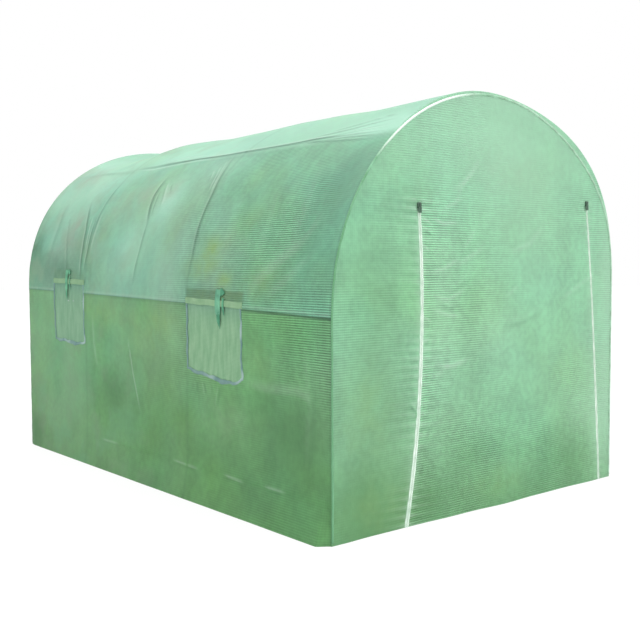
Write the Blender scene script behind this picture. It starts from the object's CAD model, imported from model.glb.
"""Walk-in polytunnel: the film cover, its windows and the zipped door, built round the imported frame.

All lengths are in metres. X runs across the tunnel, Y along it with the door end at -Y, Z up.
"""

import math
from functools import partial

import bpy
import numpy as np
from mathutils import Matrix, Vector


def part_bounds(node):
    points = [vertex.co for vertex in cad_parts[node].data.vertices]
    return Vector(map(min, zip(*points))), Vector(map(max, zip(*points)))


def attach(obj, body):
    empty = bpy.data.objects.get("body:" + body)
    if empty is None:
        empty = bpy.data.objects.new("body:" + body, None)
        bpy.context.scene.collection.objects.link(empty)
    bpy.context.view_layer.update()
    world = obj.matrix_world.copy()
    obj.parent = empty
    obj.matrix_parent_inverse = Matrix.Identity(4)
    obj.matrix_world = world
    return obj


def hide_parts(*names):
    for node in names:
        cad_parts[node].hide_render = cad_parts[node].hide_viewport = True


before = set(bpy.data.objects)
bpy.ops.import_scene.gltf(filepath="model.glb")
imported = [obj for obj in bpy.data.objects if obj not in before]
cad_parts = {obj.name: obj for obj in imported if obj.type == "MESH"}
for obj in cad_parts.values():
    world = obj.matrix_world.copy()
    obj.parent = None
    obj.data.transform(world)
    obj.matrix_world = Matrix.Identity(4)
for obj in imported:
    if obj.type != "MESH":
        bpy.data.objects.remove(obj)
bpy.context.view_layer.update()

bl_info = {
    "name": "Polytunnel greenhouse",
    "version": (1, 0, 0),
    "blender": (4, 5, 0),
    "location": "View3D > Sidebar > Polytunnel",
    "description": "Film cover, windows and zipped door of a walk-in polytunnel",
    "category": "Add Mesh",
}

BODY = "root"
SIDES = (("left", False), ("right", True))
TITLES = ("near", "far")
END_FILM = "Reinforced polyethylene film, end green"

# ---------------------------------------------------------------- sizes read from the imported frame

ROOF_LOW, ROOF_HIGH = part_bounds("cover_roof")
RADIUS = ROOF_HIGH.x
SHOULDER = ROOF_LOW.z
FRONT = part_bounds("front_panel")[0].y
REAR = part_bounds("rear_panel")[1].y
DOOR_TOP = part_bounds("door_flap")[1].z
GIRTH = 2 * SHOULDER + math.pi * RADIUS


def node_points(node):
    """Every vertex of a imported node, as rows of x, y, z."""
    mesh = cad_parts[node].data
    points = np.empty(len(mesh.vertices) * 3)
    mesh.vertices.foreach_get("co", points)
    return points.reshape(-1, 3)


def middle(node, axis):
    """Middle of a node's box along one axis."""
    low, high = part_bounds(node)
    return (low[axis] + high[axis]) / 2


def part_box(node, front_half):
    """Low and high corners of the part of a node in the front or the rear half of the tunnel."""
    points = node_points(node)
    points = points[(points[:, 1] < 0) == front_half]
    return points.min(axis=0), points.max(axis=0)


HOOPS = [middle(n, 1) for n in ("hoop_front", "hoop_second", "hoop_third", "hoop_rear")]
RAIL_ANGLE = math.atan2(middle("roof_rails_left", 2) - SHOULDER, -middle("roof_rails_left", 0))
ROOF_RAIL = SHOULDER + RADIUS * RAIL_ANGLE
BASE_RAIL = middle("base_rails_left", 2)
# Lines up the section where a rail or the ground edge holds the film.
HELD = [
    0.0, BASE_RAIL, SHOULDER, ROOF_RAIL,
    GIRTH - ROOF_RAIL, GIRTH - SHOULDER, GIRTH - BASE_RAIL, GIRTH,
]
# Deepest sag of the film between two held lines, a row for each bay from the door end.
SAGS = np.array([
    [0.000, 0.003, 0.010, 0.003, 0.010, 0.003, 0.000],
    [0.000, 0.003, 0.009, 0.012, 0.009, 0.003, 0.000],
    [0.000, 0.003, 0.009, 0.040, 0.009, 0.003, 0.000],
])
WINDOWS = [part_box("window_nets_left", True), part_box("window_nets_left", False)]
# The near window's opening runs up against the second hoop and is cut a little wide of its net.
WINDOWS[0][0][1] -= 0.010
WINDOWS[0][1][1] += 0.018
# The far windows are sewn in a little narrow and higher up, so that their tops pass the side seam.
FAR_RISE = 0.050
WINDOWS[1][1][1] -= 0.030
WINDOWS[1][0][2] += FAR_RISE
WINDOWS[1][1][2] += FAR_RISE
RISES = (0.0, FAR_RISE)
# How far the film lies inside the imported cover's outer face, and how high its loose skirt reaches.
INSET = 0.0006
SKIRT = 0.22
# Length of a window flap, the turns it is rolled up in, and the steps round a strap's loop.
FLAP_LENGTH = 0.36
FLAP_TURNS = 3.25
LOOP_STEPS = 48
# Height of the base bar that shows through the rear panel.
REAR_LINE = 0.16


# ---------------------------------------------------------------- the cover as a surface


def section(s):
    """Point and outward normal of the cover's section, s metres up from the left ground edge."""
    angle = np.clip((s - SHOULDER) / RADIUS, 0, math.pi)
    down = np.clip(s - SHOULDER - math.pi * RADIUS, 0, None)
    normal = np.stack([-np.cos(angle), np.sin(angle)], axis=-1)
    x = RADIUS * normal[..., 0]
    z = np.minimum(s, SHOULDER) + RADIUS * normal[..., 1] - down
    return x, z, normal


def smooth(value, low, high):
    """0 below low, 1 above high and a soft step between."""
    t = np.clip((value - low) / (high - low), 0, 1)
    return t * t * (3 - 2 * t)


def peak(gap, half):
    """1 in the middle of a soft line or patch, fading to nothing on both sides of it."""
    return np.exp(-((gap / half) ** 2))


def fullness(y, s):
    """How far the film stands off the half-round hoops, most at the right haunch near the door."""
    angle = np.clip((s - SHOULDER) / RADIUS, 0, math.pi)
    quarters = 2 * angle / math.pi
    front = smooth(-y, -0.6, 1.5)
    left = 0.035 * smooth(y, -1.2, 1.5) * np.sin(math.pi * np.clip(quarters, 0, 1) ** 0.75) ** 2
    right = (0.012 + 0.058 * front) * np.sin(math.pi * np.clip(quarters - 1, 0, 1) ** 1.3) ** 2
    crown = 0.013 * front * peak(angle - 1.31, 0.36)
    return left + right + crown


def blobs(u, v, spots):
    """Sum of soft patches, each (u, v, half width, half height, amount)."""
    total = np.zeros(np.broadcast(u, v).shape)
    for u0, v0, half_u, half_v, amount in spots:
        total = total + amount * np.exp(-(((u - u0) / half_u) ** 2) - ((v - v0) / half_v) ** 2)
    return total


def seam_height(y):
    """Height of the side seam, which drifts up towards the rear."""
    t = (y - FRONT) / (REAR - FRONT)
    return SHOULDER - 0.010 + 0.095 * t - 0.024 * t * t


def fold(u, v, points, width):
    """Signed distance from a bent line in widths, and how strong the line is there."""
    gap = np.full(np.shape(u), 1e9)
    along = np.zeros(np.shape(u))
    run = 0.0
    for (u0, v0), (u1, v1) in zip(points, points[1:]):
        du, dv = u1 - u0, v1 - v0
        length = math.hypot(du, dv)
        t = np.clip(((u - u0) * du + (v - v0) * dv) / length**2, 0, 1)
        off_u, off_v = u - u0 - t * du, v - v0 - t * dv
        side = np.where(du * off_v - dv * off_u >= 0, 1.0, -1.0)
        near = np.hypot(off_u, off_v)
        closer = near < np.abs(gap)
        gap = np.where(closer, side * near, gap)
        along = np.where(closer, run + t * length, along)
        run += length
    fade = smooth(np.minimum(along, run - along), 0, 0.3 * run)
    return gap / width, fade


def pressed(u, v, lines):
    """Height and tone of all the fold lines: a dark line with a lighter lip beside it."""
    height = np.zeros(np.shape(u))
    tone = np.zeros(np.shape(u))
    for points, width, rise, dark in lines:
        gap, fade = fold(u, v, points, width)
        height += rise * fade * np.exp(-(np.abs(gap) ** 1.5))
        lip = peak(gap - 1.7, 1.0) * 0.45
        tone += dark * fade * (peak(gap, 1.0) - lip)
    return height, tone


# Folds of the side film: (points as (y, way up the section)), width, height, darkness.
HOOP_FOLDS = (
    (((-0.31, 1.88), (-0.36, 1.70), (-0.40, 1.54), (-0.41, 1.36), (-0.42, 1.21), (-0.40, 1.03)),
     0.010, 0.004, 0.60),
    (((-0.27, 1.76), (-0.31, 1.68), (-0.34, 1.56)), 0.006, 0.003, -0.50),
    (((-0.29, 1.80), (-0.34, 1.66), (-0.37, 1.54)), 0.005, 0.003, -0.45),
    (((-0.24, 1.74), (-0.28, 1.64)), 0.005, 0.002, -0.40),
    (((0.69, 1.76), (0.70, 1.66), (0.71, 1.56), (0.71, 1.43), (0.71, 1.34)), 0.007, 0.003, 0.28),
    (((0.95, 1.60), (0.86, 1.47), (0.81, 1.38), (0.78, 1.26), (0.77, 1.12), (0.78, 1.03)),
     0.011, 0.005, 0.75),
    (((0.74, 1.47), (0.72, 1.34), (0.71, 1.24), (0.73, 1.10)), 0.009, 0.004, 0.65),
    (((0.80, 1.48), (0.77, 1.36), (0.74, 1.22)), 0.006, 0.003, -0.50),
    (((0.69, 1.50), (0.68, 1.37), (0.68, 1.22)), 0.008, 0.003, -0.45),
    (((1.05, 1.36), (0.98, 1.20), (0.96, 1.08)), 0.010, 0.003, 0.40),
    (((1.13, 1.50), (1.06, 1.38), (1.03, 1.28)), 0.009, 0.003, 0.25),
)
BAY_FOLDS = (
    (((0.19, 1.73), (0.20, 1.65), (0.20, 1.58), (0.18, 1.51), (0.15, 1.44), (0.13, 1.38)),
     0.012, 0.004, 0.80),
    (((0.14, 1.46), (0.13, 1.34), (0.13, 1.25), (0.16, 1.03)), 0.009, 0.004, 0.45),
    (((0.15, 1.68), (0.08, 1.55), (0.06, 1.48)), 0.008, 0.003, -0.55),
    (((0.17, 1.62), (0.14, 1.50), (0.12, 1.43)), 0.006, 0.003, 0.45),
    (((0.10, 1.66), (0.05, 1.58)), 0.006, 0.002, 0.35),
    (((-0.87, 0.99), (-1.02, 1.12), (-1.24, 1.25), (-1.36, 1.42)), 0.030, 0.003, -0.20),
    (((-1.02, 1.00), (-1.20, 1.10), (-1.38, 1.24)), 0.022, 0.003, -0.14),
    (((-0.95, 1.62), (-1.02, 1.40), (-1.00, 1.15)), 0.030, 0.004, 0.14),
    (((-1.20, 1.70), (-1.26, 1.45), (-1.24, 1.20)), 0.030, 0.004, 0.16),
    (((-0.70, 1.60), (-0.76, 1.38), (-0.72, 1.15)), 0.035, 0.003, 0.10),
    (((1.25, 1.60), (1.20, 1.40), (1.22, 1.20)), 0.020, 0.004, 0.25),
)
RAIL_FOLDS = (
    (((-1.44, 1.93), (-1.05, 1.88), (-0.60, 1.86), (-0.20, 1.85), (0.05, 1.85), (0.46, 1.83),
      (0.74, 1.83)), 0.009, 0.005, 0.85),
    (((-0.25, 1.83), (0.05, 1.83), (0.46, 1.80), (0.70, 1.81)), 0.008, 0.003, -0.55),
    (((0.60, 1.80), (0.90, 1.81), (1.20, 1.84)), 0.014, 0.002, 0.15),
)
# Fine folds that fan out from the left roof rail, on that side only.
FAN_FOLDS = (
    (((-1.42, 1.80), (-1.15, 1.83), (-0.84, 1.86)), 0.006, 0.003, 0.45),
    (((-1.43, 1.83), (-1.15, 1.85), (-0.80, 1.86)), 0.006, 0.003, 0.50),
    (((-1.43, 1.86), (-1.10, 1.87), (-0.76, 1.88)), 0.006, 0.003, 0.45),
    (((-1.44, 1.90), (-1.10, 1.89), (-0.82, 1.89)), 0.006, 0.003, -0.45),
    (((-1.44, 1.97), (-1.15, 1.93), (-0.86, 1.90)), 0.007, 0.003, 0.45),
    (((-1.44, 2.03), (-1.20, 1.98), (-0.95, 1.93)), 0.007, 0.003, 0.35),
    (((-0.10, 1.88), (0.20, 1.86), (0.52, 1.84)), 0.006, 0.003, 0.45),
    (((-0.05, 1.89), (0.25, 1.89), (0.55, 1.86)), 0.006, 0.003, -0.40),
)
WALL_FOLDS = (
    (((0.22, 0.80), (0.16, 0.58), (0.07, 0.35)), 0.006, 0.002, -0.40),
    (((-0.49, 0.60), (-0.50, 0.52)), 0.007, -0.002, 0.40),
    (((-0.55, 0.60), (-0.57, 0.53)), 0.007, -0.002, 0.45),
    (((-0.69, 0.59), (-0.66, 0.48)), 0.008, -0.002, 0.40),
    (((-0.62, 0.59), (-0.62, 0.54)), 0.006, -0.002, 0.30),
    (((-0.84, 0.63), (-1.05, 0.61), (-1.28, 0.62), (-1.47, 0.57)), 0.026, 0.003, -0.16),
    (((-0.24, 0.17), (-0.53, 0.16)), 0.007, 0.002, -0.32),
    (((-0.71, 0.17), (-0.90, 0.16)), 0.007, 0.002, -0.35),
    (((-1.03, 0.17), (-1.21, 0.17)), 0.007, 0.002, -0.32),
    (((0.30, 0.17), (0.52, 0.17)), 0.008, 0.002, -0.25),
    (((-1.36, 0.90), (-1.39, 0.55), (-1.37, 0.25)), 0.020, 0.003, 0.14),
    (((0.62, 0.90), (0.60, 0.70), (0.56, 0.55)), 0.012, 0.002, -0.20),
)
# Broad patches of the film as (y, way up the section), half sizes and amount: + paler, - deeper.
ROOF_HAZE = (
    (0.15, 1.35, 0.42, 0.55, 0.40), (0.95, 1.70, 0.35, 0.30, 0.45), (1.20, 1.12, 0.35, 0.12, -0.45),
    (-0.30, 1.75, 0.25, 0.12, 0.20), (-1.30, 1.40, 0.16, 0.30, -0.15), (0.75, 1.35, 0.12, 0.22, -0.15),
    (0.25, 1.25, 0.13, 0.12, 0.30), (1.42, 1.95, 0.25, 0.14, 0.30), (1.42, 1.64, 0.12, 0.12, 0.30),
    (1.47, 1.29, 0.12, 0.09, -0.65), (1.20, 1.55, 0.32, 0.22, 0.28), (0.99, 1.15, 0.12, 0.05, -0.25),
    (-1.40, 1.62, 0.13, 0.25, -0.30), (-0.20, 1.15, 0.12, 0.12, 0.20), (-1.38, 1.90, 0.20, 0.12, 0.60),
    (0.02, 1.52, 0.10, 0.12, 0.50),
)
WALL_HAZE = (
    (0.95, 0.35, 0.55, 0.40, 0.30), (1.35, 0.75, 0.15, 0.25, 0.25), (-1.15, 0.15, 0.45, 0.18, -0.10),
    (-0.30, 0.35, 0.35, 0.14, -0.20), (0.42, 0.44, 0.26, 0.14, -0.45), (-0.75, 0.45, 0.30, 0.10, 0.20),
    (-1.22, 0.43, 0.25, 0.14, -0.45), (1.45, 0.10, 0.15, 0.15, -0.55), (-0.05, 0.62, 0.18, 0.10, -0.20),
    (1.18, 0.42, 0.14, 0.14, -0.25), (0.94, 0.60, 0.10, 0.22, 0.20),
)
FRONT_HAZE = (
    (0.00, 1.85, 1.00, 0.40, 0.60), (0.30, 1.35, 0.50, 0.40, 0.24), (0.90, 0.90, 0.20, 0.80, 0.15),
    (0.97, 0.36, 0.12, 0.50, 0.50), (0.75, 0.45, 0.20, 0.30, 0.25), (0.98, 1.15, 0.12, 0.40, 0.40),
    (-0.75, 0.05, 0.50, 0.22, -0.45), (0.30, 0.00, 0.90, 0.20, -0.30), (-0.35, 0.85, 0.12, 0.50, 0.18),
    (0.28, 0.75, 0.45, 0.50, 0.20), (-0.34, 1.00, 0.12, 0.40, 0.16), (-0.78, 0.75, 0.20, 0.60, -0.22),
    (-0.14, 0.27, 0.14, 0.07, -0.25),
    (-0.80, 0.20, 0.16, 0.14, -0.12), (0.60, 0.20, 0.24, 0.12, -0.25), (-0.40, 0.12, 0.12, 0.10, -0.25),
)
# Patches of hue in the same way: + yellow-green, where plants touch the film, - a pinkish grey.
ROOF_HUE = (
    (-0.58, 1.24, 0.10, 0.07, 0.85), (-0.50, 1.14, 0.12, 0.06, 0.60), (-0.71, 1.09, 0.08, 0.035, 0.70),
    (-0.83, 1.40, 0.10, 0.12, 0.20), (-1.00, 1.08, 0.16, 0.08, 0.35), (0.97, 1.41, 0.10, 0.13, -0.65),
    (1.24, 1.80, 0.20, 0.12, -0.45),
    (0.30, 1.58, 0.09, 0.09, -0.50), (0.04, 1.60, 0.06, 0.07, -0.45), (0.62, 1.27, 0.06, 0.10, -0.40),
    (0.55, 1.45, 0.08, 0.08, -0.30), (-0.15, 1.30, 0.08, 0.15, 0.25), (1.15, 1.25, 0.12, 0.08, -0.30),
)
WALL_HUE = (
    (0.50, 0.90, 0.28, 0.08, 0.35), (-0.15, 0.88, 0.15, 0.07, 0.40), (0.05, 0.78, 0.25, 0.12, 0.25),
    (-1.00, 0.72, 0.12, 0.10, 0.20), (1.15, 0.85, 0.12, 0.08, 0.25), (-0.70, 0.40, 0.25, 0.10, -0.15),
)
FRONT_HUE = (
    (-0.80, 0.55, 0.16, 0.22, 0.25), (-0.72, 0.12, 0.20, 0.12, 0.30), (0.05, 0.12, 0.18, 0.08, 0.25),
    (0.10, 1.60, 0.30, 0.12, -0.20), (0.55, 0.70, 0.20, 0.20, 0.12), (-0.55, 1.45, 0.16, 0.14, 0.12),
)
# Where the side film crinkles most.
WALL_PUCKER = ((-1.15, 0.70, 0.45, 0.30, 0.60),)


def tube_lines(y, s):
    """Faint lines where the film lies on the hoops and rails, darker just below each."""
    tone = np.zeros(np.shape(y))
    for hoop in HOOPS[1:3]:
        tone += 0.16 * peak(y - hoop, 0.012)
    for rail in (ROOF_RAIL, GIRTH - ROOF_RAIL):
        tone += 0.10 * peak(s - rail, 0.014)
    return tone


def cover_relief(y, s):
    """How far the film stands out from the plain section, and its tone: + darker, - lighter."""
    bay = np.clip(np.searchsorted(HOOPS, y, side="right") - 1, 0, 2)
    hoops = np.array(HOOPS)
    t = np.clip((y - hoops[bay]) / (hoops[bay + 1] - hoops[bay]), 0, 1)
    along = (4 * t * (1 - t)) ** 1.3
    held = np.array(HELD)
    cell = np.clip(np.searchsorted(held, s, side="right") - 1, 0, len(HELD) - 2)
    t = np.clip((s - held[cell]) / (held[cell + 1] - held[cell]), 0, 1)
    across = 4 * t * (1 - t)
    out = -SAGS[bay, cell] * along * across

    loose = along * (0.25 + 0.75 * across)
    wave = 0.0030 * np.sin(2.3 * y + 3.1 * s + 0.4) + 0.0022 * np.sin(5.1 * y - 4.3 * s + 1.1)
    wave += 0.0016 * np.sin(9.7 * y + 2.9 * s + 2.0) + 0.0010 * np.sin(15.1 * y - 8.7 * s + 0.7)
    out = out + loose * (wave - 0.002)

    # Below the base rail the film is a loose skirt that kicks outwards, most near the door end.
    low = np.minimum(s, GIRTH - s)
    skirt = 0.030 - 0.015 * y
    ends = smooth(REAR - np.abs(y), 0.0, 0.05)
    out = out + skirt * ends * np.clip(1 - low / SKIRT, 0, 1) ** 1.4

    inside = smooth(REAR - np.abs(y), 0.010, 0.060)
    left = s < GIRTH / 2
    near = np.where(left, s, GIRTH - s)
    shift = np.where(left, y, y + 0.04)
    height, tone = pressed(shift, near, HOOP_FOLDS + BAY_FOLDS + RAIL_FOLDS + WALL_FOLDS)
    fan_height, fan_tone = pressed(y, s, FAN_FOLDS)
    height = height + fan_height
    tone = tone + fan_tone + tube_lines(y, s)
    # The film is drawn into the seam beside the piping, which leaves a dark line up the edge.
    seam_line = 0.45 * peak(REAR - np.abs(y), 0.009) * smooth(-s, -1.75, -1.45)
    return out + inside * height + fullness(y, s), inside * tone + seam_line


def cover_points(y, s, lift=0.0):
    """Points of the film at (y, s), lifted off it by lift, and the tone there."""
    x, z, normal = section(s)
    out, tone = cover_relief(y, s)
    out = out + lift - INSET
    points = np.stack([x + out * normal[..., 0], y, z + out * normal[..., 1]], axis=-1)
    return points, tone


def door_line(node):
    """Smooth curve of a door zip's middle, as a polynomial of height."""
    points = node_points(node)
    heights = np.unique(points[:, 2].round(3))
    rows = [points[np.abs(points[:, 2] - h) < 0.001, 0] for h in heights]
    centres = [(row.min() + row.max()) / 2 for row in rows]
    return np.polyfit(heights, centres, 2)


ZIP_LEFT = door_line("door_zip_left")
ZIP_RIGHT = door_line("door_zip_right")
# Each zip: its curve, how high it runs, the width of its tape and how hard it puckers the film.
ZIPS = {
    "left": (ZIP_LEFT, DOOR_TOP, 1.0, 1.4),
    "right": (ZIP_RIGHT, DOOR_TOP + 0.055, 0.70, 0.7),
}

# Faint creases of the front, as (x, z) points, width, height and darkness.
FRONT_FOLDS = (
    (((-0.42, 1.37), (-0.34, 1.34), (-0.22, 1.35)), 0.009, 0.003, -0.35),
    (((-0.43, 1.12), (-0.33, 1.14), (-0.20, 1.20)), 0.010, 0.003, -0.30),
    (((-0.42, 1.02), (-0.30, 1.00), (-0.16, 1.06)), 0.010, 0.003, -0.28),
    (((-0.42, 0.96), (-0.30, 0.93), (-0.20, 0.92)), 0.010, 0.003, -0.28),
    (((-0.38, 0.99), (-0.28, 0.96), (-0.18, 0.99)), 0.008, 0.002, 0.22),
    (((-0.40, 0.72), (-0.28, 0.69), (-0.16, 0.72)), 0.012, 0.003, -0.22),
    (((-0.10, 1.33), (-0.20, 1.22)), 0.010, 0.003, -0.24),
    (((-0.06, 1.66), (-0.20, 1.52), (-0.28, 1.40)), 0.010, 0.003, -0.26),
    (((0.10, 1.20), (0.28, 1.26), (0.40, 1.36)), 0.014, 0.003, -0.16),
    (((0.10, 1.00), (0.20, 1.06)), 0.010, 0.002, -0.20),
    (((0.05, 0.86), (0.25, 0.88), (0.40, 0.94)), 0.012, 0.003, 0.14),
    (((-0.29, 1.48), (-0.09, 1.60)), 0.010, 0.003, -0.22),
    (((-0.37, 1.39), (-0.17, 1.48)), 0.010, 0.003, -0.25),
    (((-0.27, 1.14), (-0.03, 1.25)), 0.012, 0.003, -0.22),
    (((-0.30, 1.02), (-0.08, 1.13)), 0.012, 0.003, 0.12),
    (((0.52, 0.97), (0.87, 1.12)), 0.012, 0.003, -0.18),
    (((-0.44, 0.62), (-0.30, 0.70), (-0.12, 0.73)), 0.014, 0.003, -0.18),
    (((-0.47, 1.36), (-0.40, 1.33)), 0.006, 0.002, -0.35),
    (((-0.47, 1.31), (-0.41, 1.29)), 0.006, 0.002, 0.35),
    (((-0.48, 1.25), (-0.42, 1.22)), 0.006, 0.002, -0.30),
    (((-0.55, 0.55), (-0.50, 0.50), (-0.49, 0.46)), 0.008, 0.003, 0.35),
    (((-0.46, 0.93), (-0.40, 0.90)), 0.006, 0.002, -0.30),
    (((-0.46, 0.80), (-0.41, 0.82)), 0.006, 0.002, 0.25),
    (((0.75, 1.34), (0.78, 1.31)), 0.006, 0.002, -0.40),
)


def front_relief(x, z):
    """How far the front film stands out from its flat plane, and its tone."""
    free = smooth(rim_gap(FRONT, x, z), 0.035, 0.16)
    out = 0.007 * np.sin(2.9 * x + 0.8) * np.sin(2.1 * z + 0.5)
    out = out + 0.004 * np.sin(6.1 * x - 1.9 * z + 1.3) + 0.002 * np.sin(11.0 * x + 4.0 * z)
    low = np.exp(-z / 0.5)
    out = out + 0.002 * low * np.sin(17.0 * x + 1.5 * np.sin(3.0 * z))
    tone = np.zeros(np.shape(x))
    for curve, top, _, force in ZIPS.values():
        gap = x - np.polyval(curve, z)
        near = np.exp(-np.abs(gap) / (0.055 * force)) * (z < top + 0.02)
        beat = np.sin(2 * math.pi * z / 0.043 + 2.2 * np.sin(8.3 * z) + 9.0 * gap)
        beat = beat * (0.5 + 0.5 * np.sin(13.7 * z + 1.1) * np.sin(5.3 * z + 0.2))
        clear = smooth(np.abs(gap), 0.008, 0.026)
        out = out + force * 0.0026 * near * beat * (0.25 + 0.75 * clear)
        tone = tone - force * 0.26 * near * beat * clear
        tone = tone - 0.18 * force * peak(gap, 0.030) * (z < top)
    height, lines = pressed(x, z, FRONT_FOLDS)
    return free * (out + height), tone + lines


def front_points(x, z, lift=0.0):
    """Points of the front film at (x, z), lifted off it by lift, and the tone there."""
    out, tone = front_relief(x, z)
    y = FRONT + 0.0004 - out - lift
    return np.stack([x, y, z], axis=-1), tone


def front_marks(x, z, tone):
    """Marks of the front film, which crinkles most between the zips and beside the left one."""
    gap = x - np.polyval(ZIP_LEFT, z)
    between = smooth(gap, -0.01, 0.02)
    pucker = between * (0.45 + 1.6 * peak(gap, 0.20)) - 0.35 * (1 - between)
    pucker = pucker * smooth(-z, -DOOR_TOP - 0.10, -DOOR_TOP + 0.10)
    return tone, blobs(x, z, FRONT_HAZE), blobs(x, z, FRONT_HUE), pucker


def graded(low, high, coarse, spots=(), exact=()):
    """Positions from low to high, coarse apart and closer round each spot (centre, half, spacing)."""
    fine_steps = np.linspace(low, high, 4000)
    density = np.full(fine_steps.shape, 1 / coarse)
    for centre, half, spacing in spots:
        near = np.exp(-(((fine_steps - centre) / half) ** 4))
        density = np.maximum(density, near / spacing)
    steps = (density[1:] + density[:-1]) / 2 * np.diff(fine_steps)
    total = np.concatenate([[0], np.cumsum(steps)])
    count = int(round(total[-1]))
    found = np.interp(np.linspace(0, total[-1], count + 1), total, fine_steps)
    for value in exact:
        found[np.argmin(np.abs(found - value))] = value
    return found


# ---------------------------------------------------------------- meshes

# Attributes of the meshes: darker or lighter line, paler or deeper patch, patch of hue, crinkling.
MARKS = ("tone", "haze", "hue", "pucker")


def sheet_object(name, points, plane, marks, keep=None, inward=False):
    """A grid of quads from rows of points, with a UV map in metres and its marks."""
    rows, columns = points.shape[:2]
    index = np.arange(rows * columns).reshape(rows, columns)
    quads = np.stack([index[:-1, :-1], index[1:, :-1], index[1:, 1:], index[:-1, 1:]], axis=-1)
    if inward:
        quads = quads[..., ::-1]
    if keep is not None:
        quads = quads[keep]
    quads = quads.reshape(-1, 4)
    used, quads = np.unique(quads, return_inverse=True)
    return mesh_object(
        name,
        points.reshape(-1, 3)[used],
        quads.reshape(-1, 4),
        plane.reshape(-1, 2)[used],
        [np.broadcast_to(mark, (rows, columns)).reshape(-1)[used] for mark in marks],
    )


def mesh_object(name, points, faces, plane=None, marks=()):
    """A smooth-shaded mesh object at the origin, with its UV map and the marks it has, in order."""
    mesh = bpy.data.meshes.new(name)
    mesh.from_pydata([tuple(p) for p in points], [], [tuple(map(int, f)) for f in faces])
    mesh.validate()
    if plane is not None:
        corners = np.empty(len(mesh.loops), dtype=np.int32)
        mesh.loops.foreach_get("vertex_index", corners)
        layer = mesh.uv_layers.new(name="metres")
        layer.data.foreach_set("uv", np.ascontiguousarray(plane[corners], dtype=np.float32).ravel())
    for mark, values in zip(MARKS, marks):
        values = np.broadcast_to(values, len(mesh.vertices))
        mesh.attributes.new(mark, "FLOAT", "POINT").data.foreach_set(
            "value", np.ascontiguousarray(values, dtype=np.float32)
        )
    mesh.polygons.foreach_set("use_smooth", np.ones(len(mesh.polygons), dtype=bool))
    piece = bpy.data.objects.new(name, mesh)
    bpy.context.scene.collection.objects.link(piece)
    return piece


def only(piece):
    """Selects one piece and nothing else."""
    if bpy.context.object and bpy.context.object.mode != "OBJECT":
        bpy.ops.object.mode_set(mode="OBJECT")
    bpy.ops.object.select_all(action="DESELECT")
    piece.select_set(True)
    bpy.context.view_layer.objects.active = piece


def apply_modifier(piece, kind, **options):
    """Adds a modifier with its settings and applies it."""
    only(piece)
    modifier = piece.modifiers.new(kind.title(), kind)
    for key, value in options.items():
        setattr(modifier, key, value)
    bpy.ops.object.modifier_apply(modifier=modifier.name)
    return piece


def thicken(piece, thickness, offset=-1.0):
    """Gives a sheet its thickness, inwards from the side it was made on."""
    apply_modifier(piece, "SOLIDIFY", thickness=thickness, offset=offset, use_even_offset=True)
    only(piece)
    bpy.ops.object.shade_smooth_by_angle(angle=math.radians(50))
    return piece


def edit(piece, step, **options):
    """Runs one mesh operator on all of a piece in edit mode."""
    only(piece)
    bpy.ops.object.mode_set(mode="EDIT")
    bpy.ops.mesh.select_all(action="SELECT")
    step(**options)
    bpy.ops.object.mode_set(mode="OBJECT")


def finish_piece(piece, material, slot, *nodes):
    """Puts a piece on the body, with its material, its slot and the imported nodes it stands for."""
    piece.data.materials.clear()
    piece.data.materials.append(material)
    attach(piece, BODY)
    if nodes:
        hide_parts(*nodes)
    return piece


def join_pieces(name, pieces):
    """Joins pieces into one object of that name."""
    only(pieces[0])
    for piece in pieces[1:]:
        piece.select_set(True)
    if len(pieces) > 1:
        bpy.ops.object.join()
    joined = bpy.context.object
    joined.name = name
    joined.data.name = name
    return joined


# ---------------------------------------------------------------- materials

# Short names of nodes: the type, after "ShaderNode", and the settings that the name stands for.
NODES = {
    "plus": ("Math", {"operation": "ADD"}),
    "times": ("Math", {"operation": "MULTIPLY"}),
    "share": ("Math", {"operation": "MULTIPLY", "use_clamp": True}),
    "larger": ("Math", {"operation": "MAXIMUM"}),
    "sine": ("Math", {"operation": "SINE"}),
    "mix": ("Mix", {"data_type": "RGBA"}),
    "tint": ("Mix", {"data_type": "RGBA", "blend_type": "MULTIPLY"}),
    "range": ("MapRange", {"clamp": True}),
}


def colour(code):
    """Linear colour of an sRGB hex code."""
    parts = [int(code[i : i + 2], 16) / 255 for i in (1, 3, 5)]
    return tuple(p / 12.92 if p <= 0.04045 else ((p + 0.055) / 1.055) ** 2.4 for p in parts) + (1.0,)


def add_node(tree, kind, *values, sockets=None, **settings):
    """Adds a node and sets it up; values go to its inputs in order, and sockets names others.

    A value is a number or colour, a socket to link from, or a node, for its first output in use.
    """
    kind, preset = NODES.get(kind, (kind, {}))
    node = tree.nodes.new("ShaderNode" + kind)
    for key, value in {**preset, **settings}.items():
        setattr(node, key, value)
    inputs = [socket for socket in node.inputs if socket.enabled]
    named = [(node.inputs[key], value) for key, value in (sockets or {}).items()]
    for socket, value in [*zip(inputs, values), *named]:
        if isinstance(value, bpy.types.Node):
            value = next(output for output in value.outputs if output.enabled)
        if isinstance(value, bpy.types.NodeSocket):
            tree.links.new(value, socket)
        else:
            socket.default_value = value
    return node


def new_material(name):
    """An empty node material and the function that adds nodes to it."""
    material = bpy.data.materials.new(name)
    material.use_nodes = True
    material.node_tree.nodes.clear()
    return material, partial(add_node, material.node_tree)


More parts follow.
